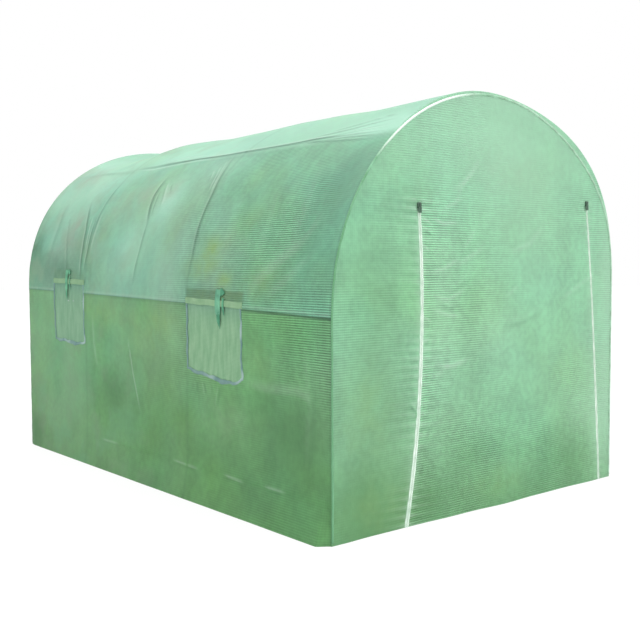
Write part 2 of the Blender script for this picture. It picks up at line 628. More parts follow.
def film_material(
    name, base, shades, lines, fade_rear=False, transparent=0.08, translucent=0.35,
    pale="#cdf2e0", deep="#4c8a5c", crease=0.055, blotch=("#a6c2a6", "#9ddcc4"),
):
    """Reinforced polyethylene film: two clear green skins welded over a woven scrim.

    To the eye it is a soft satin sheet with fine level ribs, clearer and paler in patches, that lets
    light through and shows dark or whitened lines where it has been folded.
    """
    material, add = new_material(name)
    coords = add("TexCoord")
    place = coords.outputs["Object"]
    plane = add("SeparateXYZ", coords.outputs["UV"]).outputs
    at = add("SeparateXYZ", place).outputs
    tone, haze, hue, pucker = (add("Attribute", attribute_name=mark).outputs["Fac"] for mark in MARKS)

    # The scrim's level threads are 10.5 mm apart and its finer upright ones 11 mm.
    level = add("sine", add("times", plane[1], 2 * math.pi / 0.0105))
    upright = add("sine", add("times", plane[0], 2 * math.pi / 0.011))
    patch = add("TexNoise", add("Mapping", place, (3.1, 0.7, 1.9)), 1.9)
    patch = add("range", patch, 0.40, 0.60, 0.10, 1.0)
    if fade_rear:
        patch = add("times", patch, add("range", at[1], 0.3, -1.2, 0.10, 1.2))
        patch = add("times", patch, add("range", at[2], 0.25, 0.80, 0.30, 1.0))
    patch = add("times", patch, add("plus", pucker, 1.0))
    level = add("times", level, add("times", patch, lines))
    ribs = add("plus", level, add("times", upright, lines * 0.08))

    # Broad patches of hue: warmer where plants show through, cooler and hazier elsewhere.
    body = tuple(base)
    for scale, offset, low, high, most, shade in (
        (1.3, (0.4, 2.2, 5.0), 0.48, 0.68, 0.8, shades[0]),
        (1.6, (7.3, 1.2, 0.3), 0.46, 0.68, 0.8, shades[1]),
        (1.1, (2.6, 4.4, 8.1), 0.50, 0.72, 0.7, shades[2]),
    ):
        cloud = add("TexNoise", add("Mapping", place, offset), scale)
        body = add("mix", add("range", cloud, low, high, 0.0, most), body, colour(shade))
    ground = add("range", at[2], 0.75, 0.0, 0.0, 0.85)
    ground = add("times", ground, add("range", add("TexNoise", place, 3.0), 0.3, 0.7, 0.7, 1.0))
    body = add("mix", ground, body, colour(shades[3]))

    # Fine upright streaks, as the film is drawn down tight, small crinkles and a mottle.
    drawn = add("Mapping", place, (1.0, 6.0, 2.0), (0.0, 0.0, 0.0), (1.0, 1.0, 0.16))
    streak = add("TexNoise", drawn, 9.0, 3.0)
    crinkle = add("TexNoise", add("Mapping", place, (5.0, 3.0, 1.0)), 32.0, 5.0)
    mottle = add("TexNoise", add("Mapping", place, (4.0, 1.0, 3.0)), 7.0, 4.0)
    value = add("plus", add("range", streak, 0.3, 0.7, 0.955, 1.045), ribs)
    rise = add("plus", add("times", pucker, 0.35), 1.0)
    creased = add("times", add("range", crinkle, 0.38, 0.62, -crease, crease), rise)
    value = add("plus", value, creased)
    value = add("plus", value, add("range", mottle, 0.38, 0.62, -0.065, 0.065))
    body = add("tint", 1.0, body, add("CombineColor", value, value, value))
    body = add("mix", add("share", haze, 1.0), body, colour(pale))
    body = add("mix", add("share", haze, -1.0), body, colour(deep))

    # Where the film has weathered, towards the rear, it is blotched with pinkish grey and pale cyan.
    aged = add("range", at[1], -0.5, 0.5, 0.1, 1.0)
    for scale, offset, most, shade in (
        (5.5, (8.0, 3.0, 2.0), 0.40, blotch[0]),
        (4.5, (1.5, 7.0, 5.0), 0.45, blotch[1]),
    ):
        cloud = add("TexNoise", add("Mapping", place, offset), scale, 4.0)
        worn = add("times", add("range", cloud, 0.50, 0.66, 0.0, most), aged)
        body = add("mix", worn, body, colour(shade))
    ragged = add("TexNoise", add("Mapping", place, (6.0, 2.0, 9.0)), 12.0, 4.0)
    hue = add("times", hue, add("range", ragged, 0.35, 0.65, 0.45, 1.30))
    for mark, factor, shade in (
        (hue, 0.8, "#a2c880"), (hue, -0.8, "#b4bdac"), (tone, 0.75, "#3d6b53"), (tone, -0.85, "#e3f5e9"),
    ):
        body = add("mix", add("share", mark, factor), body, colour(shade))

    height = add("plus", crinkle, add("times", ribs, 1.5))
    bump = add("Bump", sockets={"Strength": 0.45, "Distance": 0.003, "Height": height})
    rough = add("range", crinkle, 0.3, 0.7, 0.36, 0.50)
    skin = add("BsdfPrincipled", body, sockets={"Roughness": rough, "IOR": 1.5, "Normal": bump})
    lit = add("MixShader", translucent, skin, add("BsdfTranslucent", body, bump))
    add("OutputMaterial", add("MixShader", transparent, lit, add("BsdfTransparent")))
    return material


def cloth_material(name, shade, dark_shade, light_shade, thread, weave=0.10, rough=0.75, bump=0.4):
    """Woven tape or webbing: fine crossed threads, matt, darker in the hollows, paler when worn."""
    material, add = new_material(name)
    coords = add("TexCoord")
    plane = add("SeparateXYZ", coords.outputs["UV"]).outputs
    tone = add("Attribute", attribute_name="tone").outputs["Fac"]
    warp, weft = (add("sine", add("times", way, 2 * math.pi / thread)) for way in plane[:2])
    threads = add("times", add("times", warp, weft), weave)
    wear = add("range", add("TexNoise", coords.outputs["Object"], 22.0, 3.0), 0.35, 0.7)
    body = add("mix", wear, tuple(shade), colour(dark_shade))
    value = add("plus", threads, 1.0)
    body = add("tint", 1.0, body, add("CombineColor", value, value, value))
    body = add("mix", add("share", tone, 1.0), body, colour(dark_shade))
    body = add("mix", add("share", tone, -1.0), body, colour(light_shade))
    relief = add("Bump", sockets={"Strength": bump, "Distance": 0.001, "Height": threads})
    skin = add("BsdfPrincipled", body, sockets={"Roughness": rough, "IOR": 1.5, "Normal": relief})
    add("OutputMaterial", skin)
    return material


def net_material(name, shade, pale_shade, dull_shade):
    """Insect net of polyethylene monofilament: a pale veil that the inside shows through.

    The real mesh is about 1.5 mm, too fine to show, so its threads are drawn 6 mm apart.
    """
    material, add = new_material(name)
    coords = add("TexCoord")
    plane = add("SeparateXYZ", coords.outputs["UV"]).outputs
    tone = add("Attribute", attribute_name="tone").outputs["Fac"]
    across, up = (add("sine", add("times", way, 2 * math.pi / 0.006)) for way in plane[:2])
    thread = add("range", add("larger", across, up), 0.2, 1.0)
    hung = add("Mapping", coords.outputs["Object"], (2.0, 1.0, 4.0), (0.0, 0.0, 0.0), (1.0, 1.0, 0.22))
    streak = add("range", add("TexNoise", hung, 40.0, 4.0), 0.35, 0.7)
    body = add("mix", streak, tuple(shade), colour(pale_shade))
    body = add("mix", add("share", tone, 1.0), body, colour(dull_shade))
    alpha = add("range", thread, 0.0, 1.0, 0.66, 0.86)
    skin = add("BsdfPrincipled", body, sockets={"Roughness": 0.6, "IOR": 1.5, "Alpha": alpha})
    add("OutputMaterial", skin)
    return material


def metal_material(name, shade, dark_shade, rough, grain, metallic=1.0):
    """Zinc-coated steel: a dull silver with cloudy spangles and scuffs; at metallic 0, painted zinc."""
    material, add = new_material(name)
    place = add("TexCoord").outputs["Object"]
    spangle = add("SeparateColor", add("TexVoronoi", place, grain).outputs["Color"])
    scuff = add("TexNoise", place, grain * 0.3, 4.0)
    mixed = add("range", add("plus", add("times", spangle, 0.4), scuff), 0.4, 1.0)
    body = add("mix", mixed, tuple(shade), colour(dark_shade))
    relief = add("Bump", sockets={"Strength": 0.15, "Distance": 0.0004, "Height": scuff})
    dulled = add("range", scuff, 0.3, 0.7, rough - 0.08, rough + 0.10)
    look = {"Metallic": metallic, "Roughness": dulled, "Normal": relief}
    add("OutputMaterial", add("BsdfPrincipled", body, sockets=look))
    return material


def plastic_material(name, shade, pale_shade, rough):
    """Moulded polypropylene: an even colour with the fine spark-eroded grain of its mould."""
    material, add = new_material(name)
    place = add("TexCoord").outputs["Object"]
    grain = add("TexNoise", place, 900.0)
    cloudy = add("range", add("TexNoise", place, 14.0, 3.0), 0.35, 0.7)
    body = add("mix", cloudy, tuple(shade), colour(pale_shade))
    relief = add("Bump", sockets={"Strength": 0.25, "Distance": 0.0004, "Height": grain})
    grained = add("range", grain, 0.3, 0.7, rough - 0.06, rough + 0.06)
    look = {"Roughness": grained, "IOR": 1.49, "Normal": relief}
    add("OutputMaterial", add("BsdfPrincipled", body, sockets=look))
    return material


# ---------------------------------------------------------------- settings


def colour_of(name, description, code):
    """A colour setting, its default given as an sRGB hex code."""
    return bpy.props.FloatVectorProperty(
        name=name, description=description, default=colour(code), size=4, min=0.0, max=1.0,
        subtype="COLOR",
    )


def length_of(name, description, default, low, high):
    """A length setting in metres."""
    return bpy.props.FloatProperty(
        name=name, description=description, default=default, min=low, max=high, unit="LENGTH",
    )


def number_of(name, description, default, low, high):
    """A plain number as a setting."""
    return bpy.props.FloatProperty(
        name=name, description=description, default=default, min=low, max=high,
    )


class CoverSettings(bpy.types.PropertyGroup):
    """Sizes and colours of the film cover."""

    film: length_of("Film thickness", "Thickness of the reinforced film as modelled", 0.001, 0.0003, 0.003)
    lap: length_of("Seam lap", "How far the roof film laps over the wall film", 0.012, 0.004, 0.04)
    welt: length_of("Welt radius", "Radius of the cord in the edge piping", 0.0038, 0.002, 0.008)
    wall: colour_of("Wall film", "Colour of the film of the side walls", "#82c285")
    roof: colour_of("Roof film", "Colour of the film of the roof", "#8ac8a4")
    end: colour_of("End film", "Colour of the film of the end panels and the door", "#9cd5ae")
    piping: colour_of("Piping", "Colour of the edge piping", "#8fcaa4")


class WindowSettings(bpy.types.PropertyGroup):
    """Sizes and colours of the windows and what hangs at them."""

    hem: length_of("Hem width", "Width of the hem tape round a window", 0.013, 0.006, 0.03)
    band: length_of("Top band", "Height of the band across the top of a window", 0.030, 0.01, 0.05)
    tab: length_of("Tie width", "Width of the tie strap at a rolled flap", 0.045, 0.01, 0.06)
    net: colour_of("Net", "Colour of the insect net", "#86b68d")
    hem_tape: colour_of("Hem tape", "Colour of the tape round a window", "#7d9d97")
    band_tape: colour_of("Top band", "Colour of the band across the top of a window", "#8cb28a")
    strap: colour_of("Tie strap", "Colour of the strap round a rolled flap", "#68b088")


class DoorSettings(bpy.types.PropertyGroup):
    """Sizes and colours of the door zips."""

    tape: length_of("Tape width", "Width of the white zip tape", 0.024, 0.015, 0.05)
    pitch: length_of("Tooth pitch", "Distance between two teeth on one side of a zip", 0.008, 0.004, 0.02)
    zip_tape: colour_of("Zip tape", "Colour of the zip tape", "#e4f1e7")
    slider: colour_of("Slider", "Colour of the zip sliders", "#3c5f4a")


class FrameSettings(bpy.types.PropertyGroup):
    """Colours of the frame."""

    tube: colour_of("Tube", "Colour of the galvanised tubes", "#c3c9cb")
    foot: colour_of("Foot plate", "Colour of the plated foot plates", "#b9bdbb")
    joint: colour_of("Connector", "Colour of the moulded connectors", "#6f9c80")


class StageSettings(bpy.types.PropertyGroup):
    """Light and camera."""

    key: number_of("Key light", "Strength of the soft light from the front right", 1.7, 0.0, 10.0)
    top: number_of("Top light", "Strength of the soft light from above", 2.2, 0.0, 10.0)
    sky: number_of("Room light", "Strength of the even light from all round", 0.42, 0.0, 2.0)
    lens: number_of("Focal length", "Lens in millimetres, for a 36 mm sensor", 53.16, 10.0, 200.0)


GROUPS = {
    "polytunnel_cover": CoverSettings,
    "polytunnel_windows": WindowSettings,
    "polytunnel_door": DoorSettings,
    "polytunnel_frame": FrameSettings,
    "polytunnel_stage": StageSettings,
}


def settings(group):
    """One group of settings of the scene."""
    return getattr(bpy.context.scene, "polytunnel_" + group)


# ---------------------------------------------------------------- grids shared by the pieces

WINDOW_EDGES = [edge for low, high in WINDOWS for edge in (low[1], high[1])]
SILLS = [low[2] for low, high in WINDOWS]
# Up to this height the rows of the wall are level, and above it they rise with the seam.
LEVEL_ROWS = 0.75
ALONG = graded(
    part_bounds("cover_roof")[0].y,
    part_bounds("cover_roof")[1].y,
    0.0185,
    [(-0.36, 0.12, 0.0065), (-0.62, 0.14, 0.009), (0.13, 0.07, 0.008), (0.78, 0.20, 0.0075),
     (-1.48, 0.04, 0.0055), (1.48, 0.04, 0.008)],
    [HOOPS[1], HOOPS[2]] + WINDOW_EDGES,
)


def wall_rows():
    """Heights of the wall's rows, before the seam's drift."""
    spots = [(0.165, 0.03, 0.006), (0.60, 0.09, 0.009), (0.02, 0.03, 0.009), (0.93, 0.04, 0.008)]
    return graded(0.0, SHOULDER, 0.020, spots, [BASE_RAIL] + SILLS)


def roof_rows():
    """Ways up the section of the roof's rows, before the seam's drift."""
    far = GIRTH - ROOF_RAIL
    spots = [(1.88, 0.12, 0.0056), (far - 0.02, 0.06, 0.010), (SHOULDER + 0.02, 0.07, 0.007),
             (GIRTH - SHOULDER - 0.02, 0.07, 0.009), (1.45, 0.25, 0.016)]
    return graded(SHOULDER, GIRTH - SHOULDER, 0.0235, spots, [ROOF_RAIL, far])


def face_middles(grid):
    """Middle of every face of a grid."""
    return (grid[:-1, :-1] + grid[1:, 1:]) / 2


def sill_wave(y):
    """How far the bottom edge of a window hangs above or below a straight line."""
    drop = np.zeros(np.shape(y))
    for (low, high), slope in zip(WINDOWS, (0.047, 0.016)):
        t = (y - low[1]) / (high[1] - low[1])
        inside = smooth(t, -0.10, 0.02) * smooth(1 - t, -0.10, 0.02)
        line = slope * t * t - 0.011 + 0.003 * np.sin(11 * t + 1.0)
        line = line + 0.55 * slope * peak(t, 0.06)
        drop = drop + inside * line
    return drop


class Step(bpy.types.Operator):
    """Shared options of every step."""

    bl_options = {"REGISTER", "UNDO"}


class POLYTUNNEL_OT_walls(Step):
    """Side walls: film from the ground to the side seam, with two windows cut in each."""

    bl_idname = "polytunnel.walls"
    bl_label = "Side walls"

    def execute(self, context):
        cover = settings("cover")
        film = film_material(
            "Reinforced polyethylene film, wall green",
            cover.wall, ("#86c672", "#76bd8c", "#9fc79f", "#6aa565"), 0.29, fade_rear=True,
            pale="#a9d3aa", deep="#437d4c", blotch=("#8fb08c", "#84c493"),
        )
        rows = wall_rows()
        y, r = np.meshgrid(ALONG, rows)
        top = seam_height(y) + cover.lap
        above = (r - LEVEL_ROWS) * (top - LEVEL_ROWS) / (SHOULDER - LEVEL_ROWS)
        s = np.where(r < LEVEL_ROWS, r, LEVEL_ROWS + above)
        reach = smooth(r, 0.42, SILLS[0]) * smooth(-r, -0.80, -SILLS[1])
        s = s + sill_wave(y) * reach
        centre_y, centre_r = face_middles(y), face_middles(r)
        keep = np.ones(centre_y.shape, dtype=bool)
        for low, high in WINDOWS:
            keep &= ~((centre_y > low[1]) & (centre_y < high[1]) & (centre_r > low[2]))
        for side, mirror in SIDES:
            points, tone = cover_points(y, GIRTH - s if mirror else s)
            under = s - (top - cover.lap) + 0.003
            fading = 0.45 + 0.55 * smooth(-y, 0.2, 0.9)
            tone = tone + 1.15 * fading * peak(under, 0.005)
            haze, hue = blobs(y, s, WALL_HAZE), blobs(y, s, WALL_HUE)
            plane = np.stack([y, s], axis=-1)
            marks = (tone, haze, hue, blobs(y, s, WALL_PUCKER))
            wall = sheet_object("wall_film_" + side, points, plane, marks, keep, mirror)
            thicken(wall, cover.film)
            finish_piece(wall, film, "cover_side_fabric", "cover_wall_" + side)
        return {"FINISHED"}


class POLYTUNNEL_OT_roof(Step):
    """Roof film, drawn over the four hoops and sagging a little between them."""

    bl_idname = "polytunnel.roof"
    bl_label = "Roof film"

    def execute(self, context):
        cover = settings("cover")
        film = film_material(
            "Reinforced polyethylene film, roof green",
            cover.roof, ("#92c58a", "#80c6ae", "#a9c6b4", "#7dbb90"), 0.29, fade_rear=True,
            pale="#c6f2de", deep="#538a6c",
        )
        y, r = np.meshgrid(ALONG, roof_rows())
        drift = seam_height(y) - SHOULDER
        hold = np.clip(1 - (r - SHOULDER) / 0.3, 0, 1) - np.clip(1 - (GIRTH - SHOULDER - r) / 0.3, 0, 1)
        s = r + drift * hold
        points, tone = cover_points(y, s)
        normal = section(s)[2]
        near = np.minimum(s, GIRTH - s)
        edge = near - seam_height(y)
        raised = 0.0018 * peak(edge, 0.03)
        points[..., 0] += raised * normal[..., 0]
        points[..., 2] += raised * normal[..., 1]
        tone = tone - 0.18 * peak(edge - 0.012, 0.006) + 0.6 * (edge < 0.003)
        centre_y, centre_s = face_middles(y), face_middles(near)
        keep = np.ones(centre_y.shape, dtype=bool)
        behind = np.zeros(y.shape)
        # The rolled flaps inside show through the film as a dull band over each window.
        for (low, high), rise, depth in zip(WINDOWS, RISES, (0.40, 0.16)):
            rolled = smooth(y, low[1] - 0.03, low[1] + 0.01) * smooth(-y, -high[1] - 0.03, -high[1] + 0.01)
            base = seam_height(y) + rise + 0.014
            rolled = rolled * smooth(near, base, base + 0.008) * smooth(-near, -base - 0.070, -base - 0.056)
            behind = behind + depth * rolled
            span = (centre_y > low[1]) & (centre_y < high[1])
            keep &= ~(span & (centre_s < seam_height(centre_y) + rise))
        rear = smooth(y, 0.2, 0.8)
        pale = smooth(near, ROOF_RAIL - 0.02 - 0.30 * rear, ROOF_RAIL + 0.06 + 0.14 * rear)
        haze = blobs(y, near, ROOF_HAZE) + (0.62 - 0.20 * rear) * pale - 0.9 * behind
        hue = 1.2 * behind + blobs(y, near, ROOF_HUE)
        pucker = 0.3 * smooth(-y, -0.6, 0.2)
        plane = np.stack([y, s], axis=-1)
        roof = sheet_object("roof_film", points, plane, (tone + behind, haze, hue, pucker), keep)
        thicken(roof, cover.film)
        finish_piece(roof, film, "cover_roof_fabric", "cover_roof")
        return {"FINISHED"}


def arch(y, angle):
    """x and z of the outline of an end panel, at an angle up from the left shoulder."""
    reach = RADIUS + fullness(y, SHOULDER + RADIUS * angle)
    return -reach * np.cos(angle), SHOULDER + reach * np.sin(angle)


def side_limits(y, z):
    """x of the left and the right edge of an end panel at each height."""
    rise = np.linspace(0, math.pi / 3, 300)
    left, right = arch(y, rise), arch(y, math.pi - rise)
    return np.interp(z, left[1], left[0]), np.interp(z, right[1], right[0])


def rim_gap(y, x, z):
    """Distance from a point of an end panel to the panel's edge, seen from the middle of the arch."""
    angle = np.arctan2(np.maximum(z - SHOULDER, 0), -x)
    reach = RADIUS + fullness(y, SHOULDER + RADIUS * angle)
    return np.where(z < SHOULDER, RADIUS - np.abs(x), reach - np.hypot(x, z - SHOULDER))


def strip_grid(rows, left, right, columns):
    """x and z of a strip between two edge curves, columns being fractions of the way across."""
    z = np.repeat(rows[:, None], len(columns), axis=1)
    x = left[:, None] + (right - left)[:, None] * columns[None, :]
    return x, z


def cap_grid(y, level, bottom, count):
    """x and z of the part of an end panel between a level line and the arch."""
    angles = np.linspace(0, math.pi, 2001)
    above = angles[arch(y, angles)[1] >= level - 1e-9]
    share = (bottom - bottom[0]) / (bottom[-1] - bottom[0])
    top_x, top_z = arch(y, above[0] + (above[-1] - above[0]) * share)
    t = np.linspace(0, 1, count)[:, None]
    x = bottom[None, :] * (1 - t) + top_x[None, :] * t
    z = level * (1 - t) + top_z[None, :] * t
    return x, z


class POLYTUNNEL_OT_front(Step):
    """Front panel and its door flap, gathered a little along the two zips."""

    bl_idname = "polytunnel.front"
    bl_label = "Front panel and door"

    def execute(self, context):
        cover = settings("cover")
        film = film_material(
            END_FILM,
            cover.end, ("#96cf9a", "#98d8b4", "#a8d5b6", "#82ba84"), 0.20,
            pale="#c4ecd2", deep="#5c9a5c", crease=0.06, blotch=("#a8c9ac", "#a3dcbb"),
        )
        rows = graded(0.0, DOOR_TOP, 0.0075)
        edge_left, edge_right = side_limits(FRONT, rows)
        left, right = np.polyval(ZIP_LEFT, rows), np.polyval(ZIP_RIGHT, rows)
        columns_left = graded(0, 1, 0.028, [(1.0, 0.10, 0.010)])
        columns_right = graded(0, 1, 0.045, [(0.0, 0.2, 0.03)])
        columns_door = graded(0, 1, 0.012, [(0.0, 0.06, 0.0045), (1.0, 0.04, 0.006)])
        door_left, door_right = left[-1], right[-1]
        bottom = np.concatenate([
            edge_left[-1] + (door_left - edge_left[-1]) * columns_left,
            (door_left + (door_right - door_left) * columns_door)[1:],
            (door_right + (edge_right[-1] - door_right) * columns_right)[1:],
        ])
        parts = []
        for name, (x, z) in (
            ("strip_left", strip_grid(rows, edge_left, left, columns_left)),
            ("door_film", strip_grid(rows, left, right, columns_door)),
            ("strip_right", strip_grid(rows, right, edge_right, columns_right)),
            ("cap", cap_grid(FRONT, DOOR_TOP, bottom, 48)),
        ):
            points, tone = front_points(x, z)
            marks = front_marks(x, z, tone)
            parts.append(sheet_object(name, points, np.stack([x, z], axis=-1), marks, None, True))
        door = parts.pop(1)
        panel = join_pieces("front_film", parts)
        edit(panel, bpy.ops.mesh.remove_doubles, threshold=0.0001)
        for piece in (panel, door):
            thicken(piece, cover.film)
        finish_piece(panel, film, "cover_end_fabric", "front_panel")
        finish_piece(door, film, "cover_end_fabric", "door_flap")
        return {"FINISHED"}


class POLYTUNNEL_OT_rear(Step):
    """Plain closed panel across the rear end."""

    bl_idname = "polytunnel.rear"
    bl_label = "Rear panel"

    def execute(self, context):
        cover = settings("cover")
        rows = graded(0.0, SHOULDER, 0.016)
        columns = graded(-RADIUS, RADIUS, 0.018, [(-RADIUS, 0.05, 0.009), (RADIUS, 0.05, 0.009)])
        parts = []
        grids = (np.meshgrid(columns, rows), cap_grid(REAR, SHOULDER, columns, 56))
        for name, (x, z) in zip(("low", "high"), grids):
            free = smooth(rim_gap(REAR, x, z), 0.035, 0.18) * smooth(np.abs(z - REAR_LINE), 0.02, 0.10)
            out = 0.006 * np.sin(3.3 * x + 1.0) * np.sin(2.5 * z) + 0.003 * np.sin(7.1 * x - 2.3 * z)
            out = out + 0.003 * np.exp(-z / 0.5) * np.sin(15.0 * x + 0.4)
            y = REAR - 0.0004 + free * (0.002 + out)
            points = np.stack([x, y, z], axis=-1)
            tone = 0.10 * peak(z - REAR_LINE, 0.015) * (np.abs(x) < 0.97)
            plane = np.stack([x, z], axis=-1)
            parts.append(sheet_object("rear_" + name, points, plane, (tone,)))
        panel = join_pieces("rear_film", parts)
        edit(panel, bpy.ops.mesh.remove_doubles, threshold=0.0001)
        thicken(panel, cover.film)
        film = bpy.data.materials[END_FILM]
        finish_piece(panel, film, "cover_end_fabric", "rear_panel")
        return {"FINISHED"}


def run_along(points):
    """Length of the path from its start to each of its points."""
    return np.concatenate([[0], np.cumsum(np.linalg.norm(np.diff(points, axis=0), axis=1))])


def tube_mesh(name, line, first, second, profile, tone=0.0, closed=False):
    """Sweeps a closed profile of (first, second) offsets along a row of points."""
    count, corners = len(line), len(profile)
    offsets = np.array(profile)
    points = (
        line[:, None, :]
        + first[:, None, :] * offsets[None, :, :1]
        + second[:, None, :] * offsets[None, :, 1:]
    )
    faces = []
    for i in range(count if closed else count - 1):
        for k in range(corners):
            a, b = i * corners + k, i * corners + (k + 1) % corners
            step = ((i + 1) % count - i) * corners
            faces.append((a, b, b + step, a + step))
    if not closed:
        faces.append(tuple(range(corners)))
        faces.append(tuple(range((count - 1) * corners, count * corners)))
    round_way = np.arange(corners) * 0.003
    plane = np.stack(np.broadcast_arrays(run_along(line)[:, None], round_way[None, :]), axis=-1)
    tones = np.repeat(np.broadcast_to(tone, count), corners)
    piece = mesh_object(name, points.reshape(-1, 3), faces, plane.reshape(-1, 2), (tones,))
    edit(piece, bpy.ops.mesh.normals_make_consistent, inside=False)
    return piece


class POLYTUNNEL_OT_welts(Step):
    """Corded piping round both ends, from the ground up over the arch and down again."""

    bl_idname = "polytunnel.welts"
    bl_label = "Edge piping"

    def execute(self, context):
        cover = settings("cover")
        radius = cover.welt
        piping = cloth_material(
            "Coated polyester piping, mint", cover.piping, "#5f9a6e", "#f6fff9", 0.004,
            weave=0.05, rough=0.5, bump=0.2,
        )
        s = np.linspace(0.012, GIRTH - 0.012, 420)
        x, z, normal = section(s)
        across = np.stack([normal[:, 0], np.zeros(len(s)), normal[:, 1]], axis=-1)
        turns = np.linspace(0, 2 * math.pi, 11)[:-1]
        cord = [(-radius + radius * math.cos(t), radius * math.sin(t)) for t in turns]
        flange = [(-0.004, 0.0012), (-0.011, 0.0006), (-0.011, -0.0002), (-0.004, -0.0004)]
        bleached = np.exp(-(((s - 2.05) / 0.30) ** 4))
        tone = 0.90 - 1.00 * smooth(s, 1.3, 1.8) - 1.00 * bleached - 0.20 * smooth(s, 2.4, 2.8)
        for name, y, way in (("front", FRONT, -1.0), ("rear", REAR, 1.0)):
            wander = 0.0006 * np.sin(s * 23) + 0.0004 * np.sin(s * 61 + 1) + fullness(y, s)
            centres = np.stack([x + wander * normal[:, 0], np.full(len(s), y), z], axis=-1)
            out = np.tile([0.0, way, 0.0], (len(s), 1))
            pieces = [
                tube_mesh(name + "_cord", centres, across, out, cord, tone),
                tube_mesh(name + "_flange", centres, across, out, flange, tone * 0.6),
            ]
            welt = join_pieces(name + "_piping", pieces)
            finish_piece(welt, piping, "piping", name + "_edge_piping")
        return {"FINISHED"}


def ribbon(name, path, width, crown, place, tone, mirror=False, thickness=0.0005):
    """A crowned tape along a path on a sheet: place(first, second, lift) gives its points."""
    path = np.array(path)
    way = np.gradient(path, axis=0)
    way = way / np.linalg.norm(way, axis=1)[:, None]
    side = np.stack([-way[:, 1], way[:, 0]], axis=-1)
    shares = np.array([-0.5, -0.42, -0.2, 0.0, 0.2, 0.42, 0.5])
    lifts = crown * (1 - (2 * shares) ** 4)
    width = np.broadcast_to(width, len(path))
    across = width[:, None] * shares[None, :]
    spots = path[:, None, :] + side[:, None, :] * across[..., None]
    points = place(spots[..., 0], spots[..., 1], 0.0004 + lifts[None, :])
    plane = np.stack(np.broadcast_arrays(run_along(path)[:, None], across), axis=-1)
    tones = np.broadcast_to(np.reshape(tone, (-1, 1)), spots.shape[:2])
    piece = sheet_object(name, points, plane, (tones,), None, mirror)
    return thicken(piece, thickness)


def on_cover(mirror, proud=0.0):
    """Where a tape lies on the left or the right side of the cover, proud of it by so much."""

    def place(y, s, lift):
        lift = np.broadcast_to(lift + proud, np.shape(y))
        return cover_points(y, GIRTH - s if mirror else s, lift)[0]

    return place


def on_front(x, z, lift):
    """Where a tape lies on the front."""
    return front_points(x, z, np.broadcast_to(lift, np.shape(x)))[0]


def wobble(t, phase):
    """Small waver of a sewn line."""
    return 0.0022 * np.sin(19 * t + phase) + 0.0012 * np.sin(43 * t + phase)


def window_outline(low, high, rise, steps):
    """Wavy path down one side of a window, along its sill and up the other, as (y, s)."""
    top_front, top_rear = seam_height(low[1]) + rise, seam_height(high[1]) + rise
    down = np.linspace(0, 1, steps)
    sill_front = low[2] + float(sill_wave(np.array([low[1]]))[0])
    sill_rear = low[2] + float(sill_wave(np.array([high[1]]))[0])
    rear_side = [
        (high[1] + wobble(t, 0.3), top_rear + (sill_rear - top_rear) * t) for t in down
    ]
    across = np.linspace(high[1], low[1], steps + 8)[1:-1]
    # The lower corner at the door end is pulled out into a small ear.
    ear = 0.012 * peak(across - low[1], 0.04)
    sill = list(zip(across - ear, low[2] + sill_wave(across) + wobble(across * 3, 1.0)))
    front_side = [
        (low[1] + wobble(t, 2.0) - 0.012 * peak(t, 0.12),
         sill_front + (top_front - sill_front) * t)
        for t in down
    ]
    return np.array(rear_side + sill + front_side)


def window_net(name, low, high, rise, place, mirror):
    """Insect net of one window, slack in the middle and finely pleated."""
    columns = np.linspace(low[1] - 0.006, high[1] + 0.006, 56)
    y, t = np.meshgrid(columns, np.linspace(0, 1, 50))
    bottom = low[2] - 0.006 + sill_wave(np.clip(y, low[1], high[1]))
    s = bottom + (seam_height(y) + rise + 0.010 - bottom) * t
    across = np.clip((y - low[1]) / (high[1] - low[1]), 0, 1)
    slack = 16 * across * (1 - across) * t * (1 - t)
    pleat = 0.0006 * np.sin(90 * y + 3 * t) * smooth(t, 0.0, 0.4)
    points = place(y, s, -0.0012 - 0.003 * slack + slack * pleat)
    # The far net has the dark inside of the tunnel's end behind it and looks duller.
    dull = 6 * rise + 0.60 * np.exp(-((1 - t) / 0.15))
    net = sheet_object(name, points, np.stack([y, s], axis=-1), (dull,), None, mirror)
    return thicken(net, 0.0004)


def window_hem(name, low, high, rise, width, place, mirror):
    """Wavy hem tape down both sides of a window and along its sill."""
    outline = window_outline(low, high, rise, 40)
    run = np.linspace(0, 1, len(outline))
    width = width * (1 + 0.18 * np.sin(37 * run) + 0.10 * np.sin(91 * run))
    width = width * (1 + 0.5 * peak(run - 0.52, 0.12))
    tone = -0.40 * smooth(np.sin(29 * run + 0.5), 0.1, 0.9) * smooth(run, 0.3, 0.6)
    return ribbon(name, outline, width, 0.0016, place, tone, mirror)


def window_band(name, low, high, rise, width, place, mirror):
    """Pale band across the top of a window, lapped over its hem."""
    across = np.linspace(low[1] - 0.012, high[1] + 0.012, 60)
    line = seam_height(across) + rise + width / 2
    path = np.stack([across, line + 0.001 * np.sin(40 * across)], axis=-1)
    wear = 0.15 * np.sin(57 * across) + 8 * rise
    return ribbon(name, path, width, 0.0008, place, wear, mirror)


